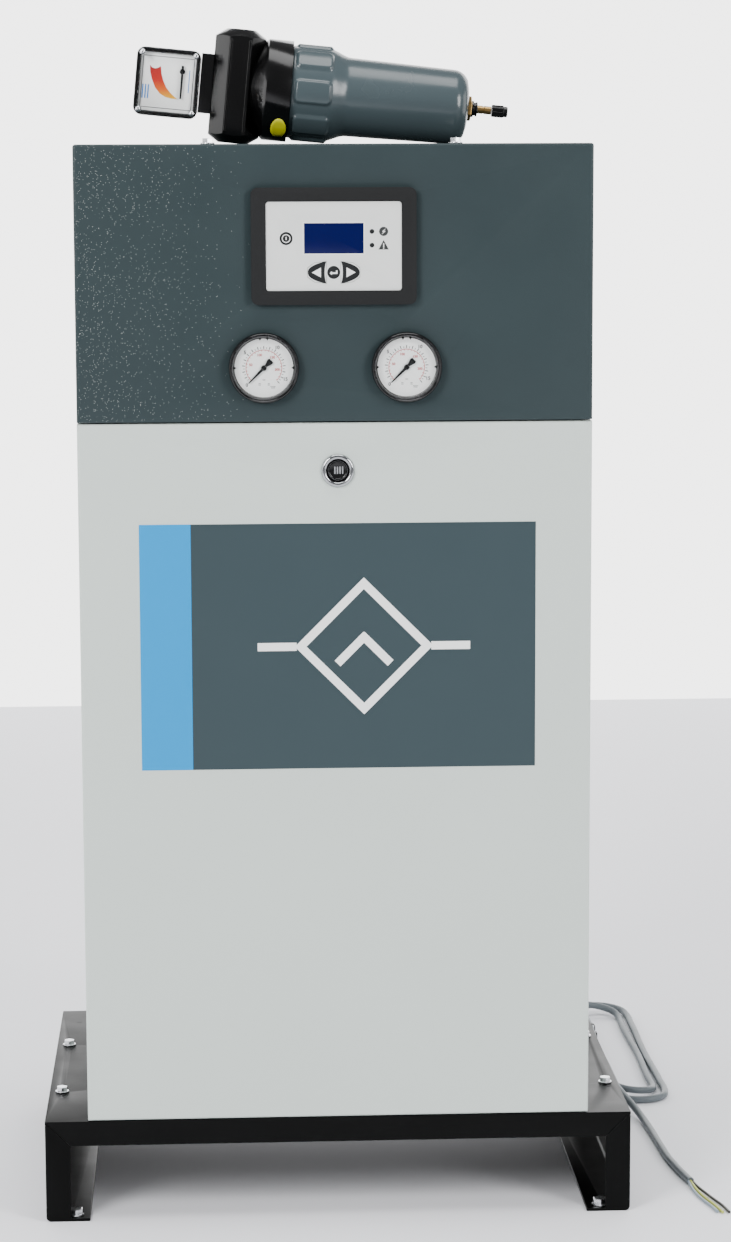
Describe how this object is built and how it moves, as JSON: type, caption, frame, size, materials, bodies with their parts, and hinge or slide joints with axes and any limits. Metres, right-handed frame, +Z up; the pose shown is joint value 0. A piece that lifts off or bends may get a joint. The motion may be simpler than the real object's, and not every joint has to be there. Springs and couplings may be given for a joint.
{
  "type": "compressed air dryer",
  "caption": "Floor-standing cabinet dryer for compressed air, with an instrument hood, a tip-open front panel, skids and a loose coalescing filter on top.",
  "frame": {"origin": "on the floor, under the middle of the dryer without its supply cord", "axes": "+Z up, front faces -Y, +X to the right seen from the front"},
  "size_m": [0.687, 0.7909, 1.178],
  "materials": {
    "hood_paint": "dark slate powder coat, fine texture",
    "panel_paint": "light grey powder coat, fine texture",
    "frame_paint": "black powder coat, semi-gloss",
    "zinc": "bright zinc plate",
    "chrome": "polished",
    "brass": "machined",
    "aluminium": "mill finish",
    "steel_tube": "drawn tube",
    "black_plastic": "moulded, fine grain",
    "casting": "black epoxy paint, gloss",
    "bowl_paint": "slate paint, semi-gloss",
    "keypad": "satin film",
    "display": "dark blue liquid crystal behind film",
    "key": "satin film",
    "dial": "printed white card",
    "pointer": "matt black",
    "clear": "clear window",
    "board": "green circuit board",
    "filter_media": "pleated glass fibre",
    "silencer_media": "porous moulding",
    "sheath": "satin cable sheath",
    "core_insulation": "smooth insulation"
  },
  "bodies": {
    "cabinet": {"base_deck": "frame_paint", "left_skid": "frame_paint", "right_skid": "frame_paint", "keeper_rail": "frame_paint", "deck_bolt_1": "zinc", "deck_bolt_2": "zinc", "deck_bolt_3": "zinc", "deck_bolt_4": "zinc", "hood_bolt_left": "zinc", "hood_bolt_right": "zinc", "left_side_panel": "panel_paint", "right_side_panel": "panel_paint", "rear_panel": "panel_paint", "hood": "hood_paint", "controller_case": "black_plastic", "left_valve": "black_plastic", "right_valve": "black_plastic", "cable_gland": "black_plastic", "keypad_overlay": "keypad", "display_window": "display", "controller_board": "board", "left_gauge_case": "casting", "left_gauge_dial": "dial", "left_gauge_lens": "clear", "left_tower": "aluminium", "left_silencer": "silencer_media", "right_gauge_case": "casting", "right_gauge_dial": "dial", "right_gauge_lens": "clear", "right_tower": "aluminium", "right_silencer": "silencer_media", "inlet_port": "brass", "outlet_port": "brass", "bottom_manifold": "aluminium", "top_manifold": "aluminium", "inlet_pipe": "steel_tube", "outlet_pipe": "steel_tube", "supply_cord": "sheath", "cord_hank": "sheath", "cord_tail": "sheath", "stripped_cores": "core_insulation"},
    "front_panel": {"front_panel": "panel_paint", "lock_housing": "chrome"},
    "lock_core": {"lock_core": "black_plastic"},
    "left_gauge_pointer": {"left_gauge_pointer": "pointer"},
    "right_gauge_pointer": {"right_gauge_pointer": "pointer"},
    "start_key": {"start_key": "key"},
    "enter_key": {"enter_key": "key"},
    "left_key": {"left_key": "key"},
    "right_key": {"right_key": "key"},
    "filter": {"filter_head": "casting", "filter_bowl": "bowl_paint", "filter_element": "filter_media", "drain_valve": "brass", "indicator_case": "casting", "indicator_dial": "dial", "indicator_cover": "clear"},
    "indicator_pointer": {"indicator_pointer": "pointer"},
    "drain_knob": {"drain_knob": "black_plastic"}
  },
  "joints": [
    {"name": "front_panel_tip", "type": "hinge", "parent": "cabinet", "child": "front_panel", "pos_m": [0, -0.2115, 0.1033], "axis": [1, 0, 0], "range_deg": [0, 35]},
    {"name": "lock_turn", "type": "hinge", "parent": "front_panel", "child": "lock_core", "pos_m": [0.002, -0.2115, 0.7506], "axis": [0, 1, 0], "range_deg": [0, 90]},
    {"name": "left_pointer_turn", "type": "hinge", "parent": "cabinet", "child": "left_gauge_pointer", "pos_m": [-0.069, -0.2115, 0.8506], "axis": [0, 1, 0], "range_deg": [0, 270]},
    {"name": "right_pointer_turn", "type": "hinge", "parent": "cabinet", "child": "right_gauge_pointer", "pos_m": [0.069, -0.2115, 0.8506], "axis": [0, 1, 0], "range_deg": [0, 270]},
    {"name": "start_key_press", "type": "slide", "parent": "cabinet", "child": "start_key", "axis": [0, 1, 0], "range_m": [0, 0.0005], "stiffness_N_per_m": 600},
    {"name": "enter_key_press", "type": "slide", "parent": "cabinet", "child": "enter_key", "axis": [0, 1, 0], "range_m": [0, 0.0005], "stiffness_N_per_m": 600},
    {"name": "left_key_press", "type": "slide", "parent": "cabinet", "child": "left_key", "axis": [0, 1, 0], "range_m": [0, 0.0005], "stiffness_N_per_m": 600},
    {"name": "right_key_press", "type": "slide", "parent": "cabinet", "child": "right_key", "axis": [0, 1, 0], "range_m": [0, 0.0005], "stiffness_N_per_m": 600},
    {"name": "filter_lift", "type": "slide", "parent": "cabinet", "child": "filter", "axis": [0, 0, 1], "range_m": [0, 0.2]},
    {"name": "indicator_pointer_turn", "type": "hinge", "parent": "filter", "child": "indicator_pointer", "pos_m": [-0.14469, -0.1125, 1.13553], "axis": [0, 1, 0], "range_deg": [0, 90]},
    {"name": "drain_knob_turn", "type": "hinge", "parent": "filter", "child": "drain_knob", "pos_m": [0.16781, -0.0995, 1.09647], "axis": [0.9954, 0, -0.0956], "range_deg": [0, 180]}
  ]
}
